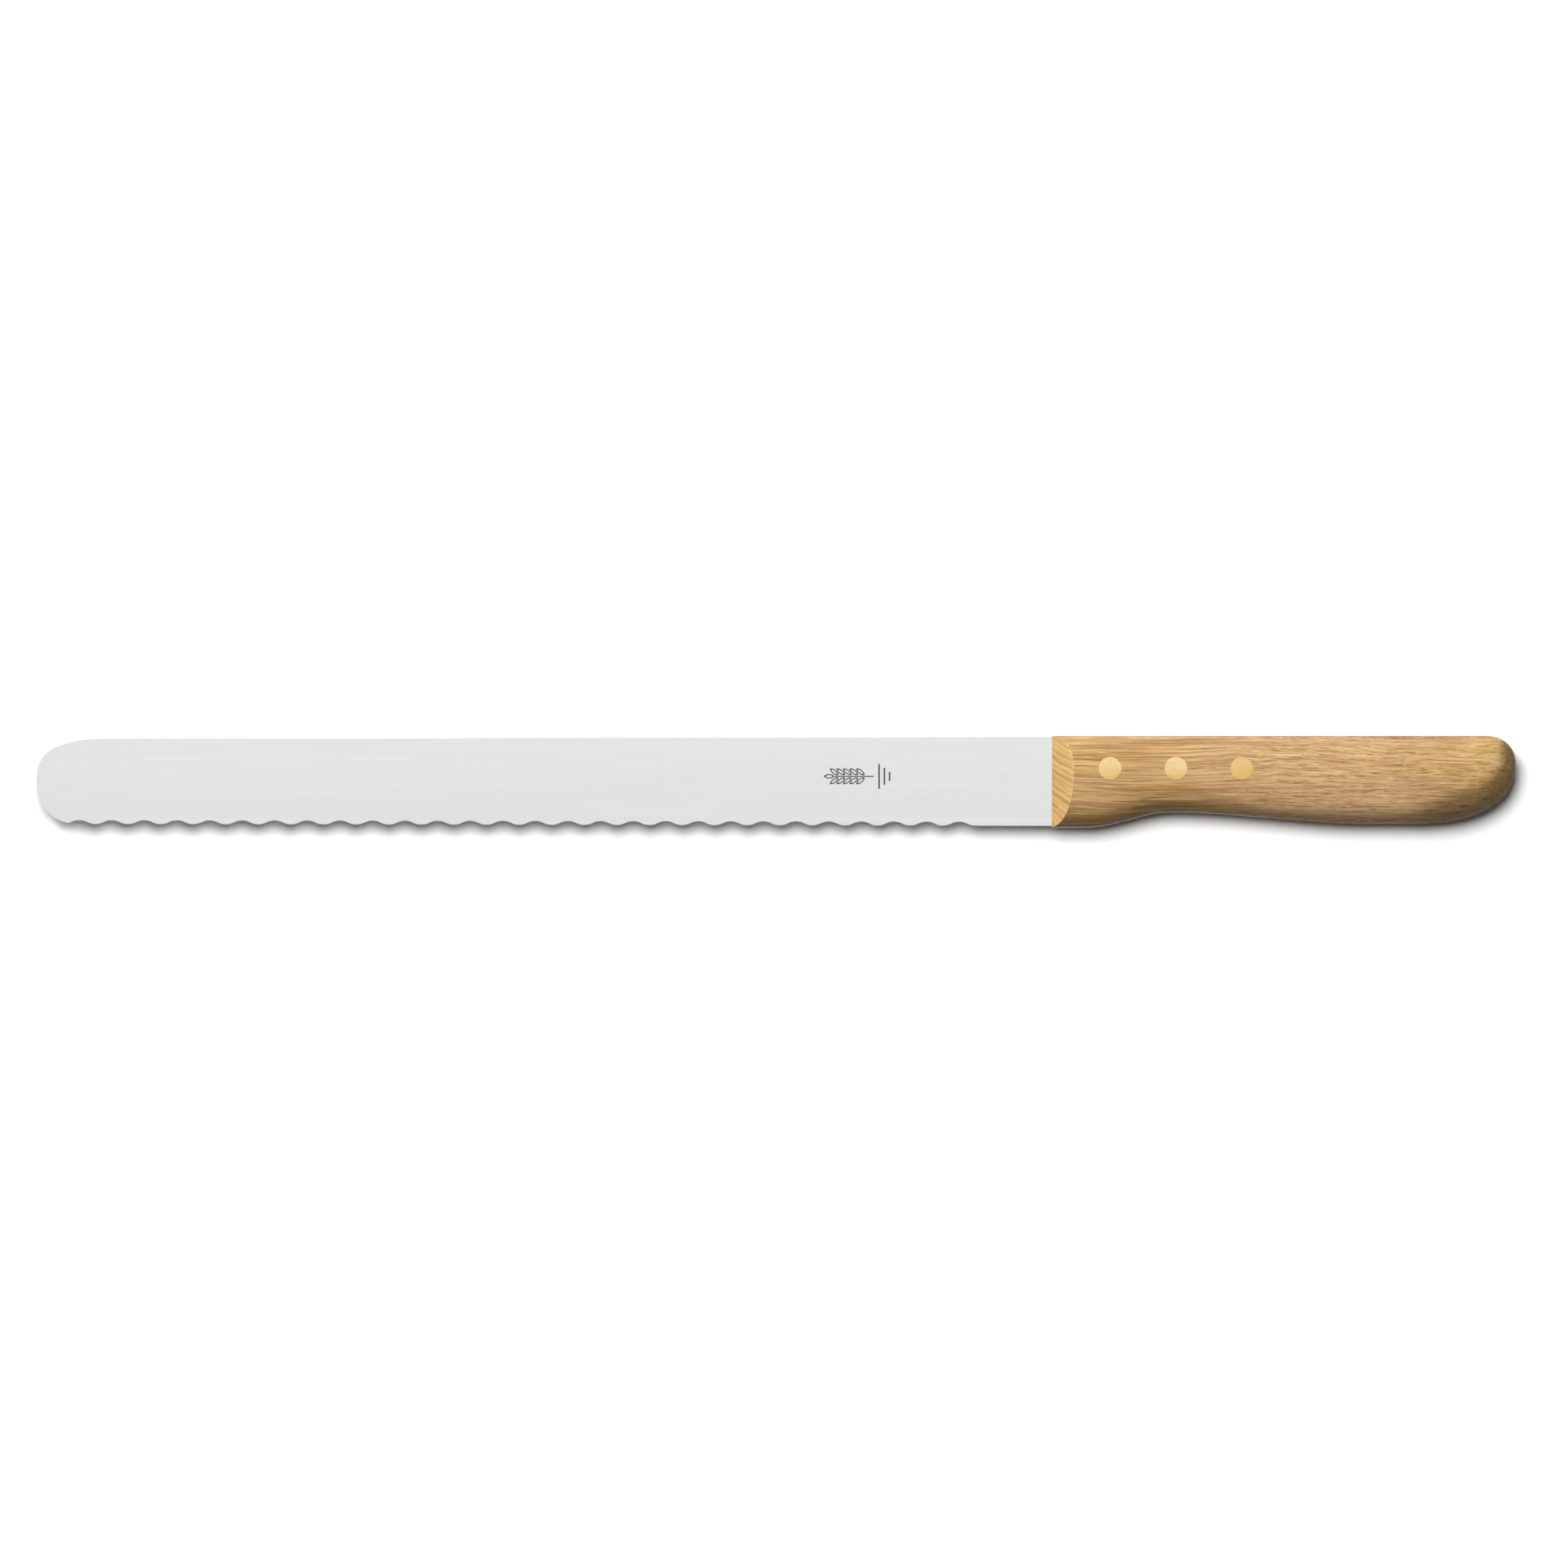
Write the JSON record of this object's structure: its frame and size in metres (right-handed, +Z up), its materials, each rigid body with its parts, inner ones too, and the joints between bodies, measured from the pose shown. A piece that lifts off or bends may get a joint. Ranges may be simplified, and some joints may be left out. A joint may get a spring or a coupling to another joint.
{
  "type": "bread knife",
  "caption": "Baker's bread knife with a long straight-backed wavy-edged blade, round-nosed tip and riveted one-piece hardwood handle.",
  "frame": {"origin": "under the middle of the knife's outline, level with the lowest point of the handle, the knife lying on its right side", "axes": "+X along the knife from the tip to the butt, +Y out of the blade's spine, +Z up out of the blade's left side"},
  "size_m": [0.4514, 0.028, 0.0164],
  "materials": {
    "blade_steel": "fine satin, polished along the blade",
    "handle_wood": "oiled open-pored hardwood, grain along the handle",
    "rivet_brass": "ground flush, satin"
  },
  "bodies": {
    "root": {"blade": "blade_steel", "handle": "handle_wood", "rivet_stud_front": "rivet_brass", "rivet_tube_front": "rivet_brass", "rivet_stud_middle": "rivet_brass", "rivet_tube_middle": "rivet_brass", "rivet_stud_rear": "rivet_brass", "rivet_tube_rear": "rivet_brass"}
  },
  "joints": []
}
